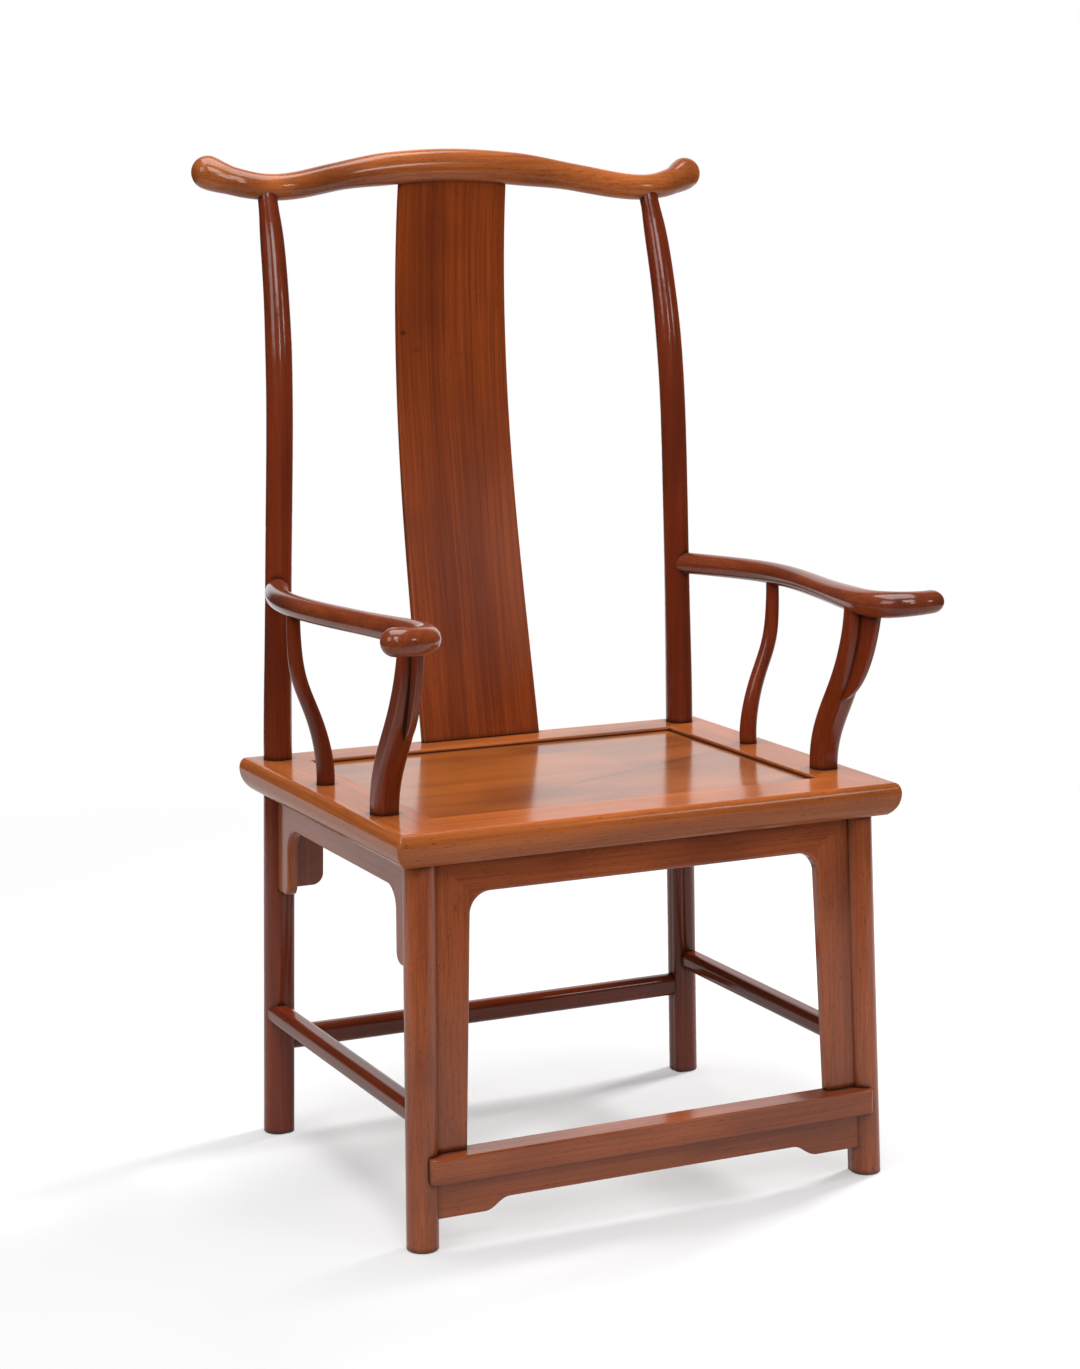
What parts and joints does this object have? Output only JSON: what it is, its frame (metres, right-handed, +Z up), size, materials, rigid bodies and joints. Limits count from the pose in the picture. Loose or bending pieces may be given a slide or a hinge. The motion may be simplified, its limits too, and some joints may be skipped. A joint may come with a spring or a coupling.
{
  "type": "official hat armchair",
  "caption": "Hardwood armchair with a yoke-shaped crest rail, bowed splat, S-curved arms on goosenecks, mitred seat frame, boxed aprons and stretchers.",
  "frame": {"origin": "on the floor, under the middle of the chair's bounding box", "axes": "+X to the right of someone facing the chair, +Y from its front to its back, +Z up"},
  "size_m": [0.6896, 0.614, 1.1908],
  "materials": {
    "hardwood": "satin",
    "panel_wood": "satin",
    "splat_wood": "satin"
  },
  "bodies": {
    "root": {"arm_bracket_left": "hardwood", "arm_bracket_right": "hardwood", "arm_front_post_left": "hardwood", "arm_front_post_right": "hardwood", "arm_side_post_left": "hardwood", "arm_side_post_right": "hardwood", "armrest_left": "hardwood", "armrest_right": "hardwood", "back_splat": "splat_wood", "crest_rail": "hardwood", "footrest": "hardwood", "footrest_apron": "hardwood", "front_apron_jamb_left": "hardwood", "front_apron_jamb_right": "hardwood", "front_apron_top": "hardwood", "front_leg_left": "hardwood", "front_leg_right": "hardwood", "rear_apron": "hardwood", "rear_apron_drop_left": "hardwood", "rear_apron_drop_right": "hardwood", "rear_post_left": "hardwood", "rear_post_right": "hardwood", "rear_stretcher": "hardwood", "seat_batten_left": "hardwood", "seat_batten_right": "hardwood", "seat_panel": "panel_wood", "seat_rail_back": "hardwood", "seat_rail_front": "hardwood", "seat_rail_left": "hardwood", "seat_rail_right": "hardwood", "side_apron_front_drop_left": "hardwood", "side_apron_front_drop_right": "hardwood", "side_apron_left": "hardwood", "side_apron_rear_drop_left": "hardwood", "side_apron_rear_drop_right": "hardwood", "side_apron_right": "hardwood", "side_stretcher_left": "hardwood", "side_stretcher_right": "hardwood"}
  },
  "joints": []
}
